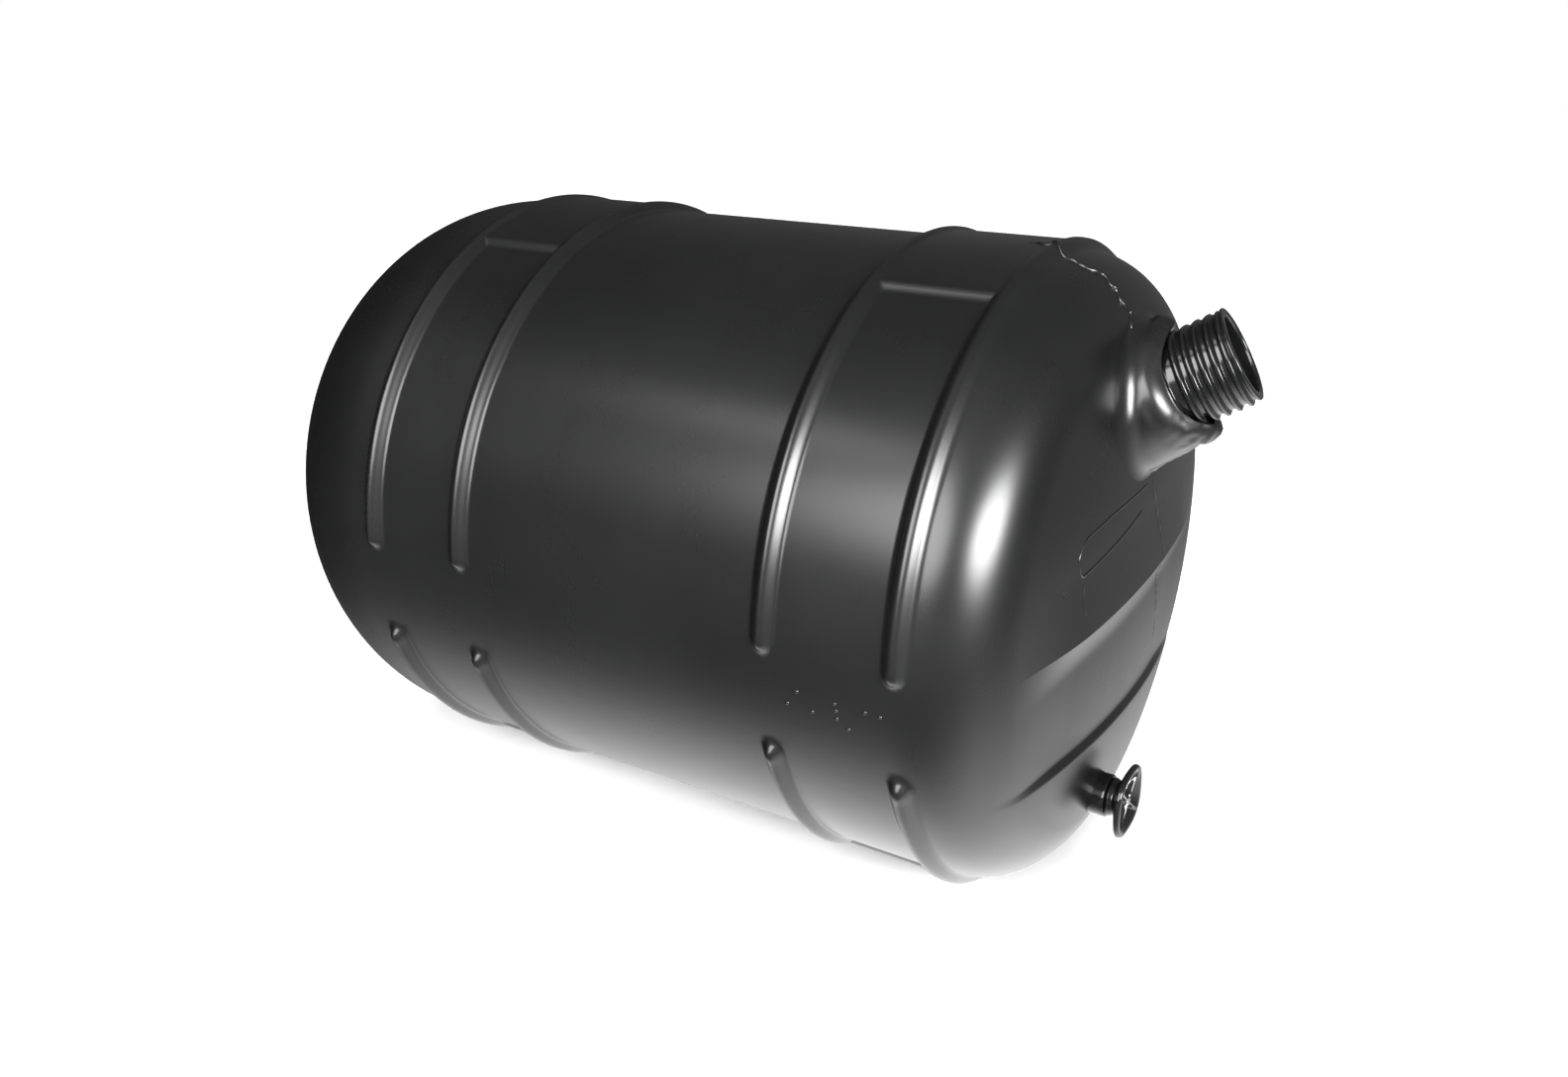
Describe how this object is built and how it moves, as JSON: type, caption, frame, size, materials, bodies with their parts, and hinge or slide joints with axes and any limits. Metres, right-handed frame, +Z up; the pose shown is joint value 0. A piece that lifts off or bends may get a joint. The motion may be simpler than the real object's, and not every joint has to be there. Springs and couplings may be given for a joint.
{
  "type": "fresh water tank",
  "caption": "Barrel-shaped blow-moulded water tank lying on its side, with strap ribs, a slanted threaded filler neck and a screw-down drain cock.",
  "frame": {"origin": "centre of the bounding box's bottom face, on the plane of the flats that the barrel stands on", "axes": "+X along the barrel towards the end with the filler neck and drain, +Z up, +Y to the left looking along +X"},
  "size_m": [0.6707, 0.412, 0.408],
  "materials": {
    "shell_black": "satin black polyethylene",
    "neck_black": "semi-gloss black polyethylene",
    "valve_black": "glossy black acetal",
    "seal_rubber": "matt black",
    "brass": "machined",
    "steel": "plain stainless"
  },
  "bodies": {
    "tank": {"tank_shell": "shell_black", "filler_neck": "neck_black", "drain_insert": "brass", "drain_body_seal": "seal_rubber", "drain_valve_body": "valve_black"},
    "valve_disc": {"drain_jumper": "brass", "drain_seat_washer": "seal_rubber"},
    "handle": {"drain_handle": "valve_black", "drain_spindle": "brass", "spindle_o_ring": "seal_rubber", "handle_screw": "steel"}
  },
  "joints": [
    {"name": "valve_lift", "type": "slide", "parent": "tank", "child": "valve_disc", "axis": [1, 0, 0], "range_m": [0, 0.0035]},
    {"name": "handle_turn", "type": "hinge", "parent": "valve_disc", "child": "handle", "pos_m": [0.283, 0, 0.057], "axis": [1, 0, 0], "range_deg": [0, 720]}
  ],
  "couplings": [
    {"joint": "handle_turn", "follows": "valve_lift", "rad_per_m": 3590.4}
  ]
}
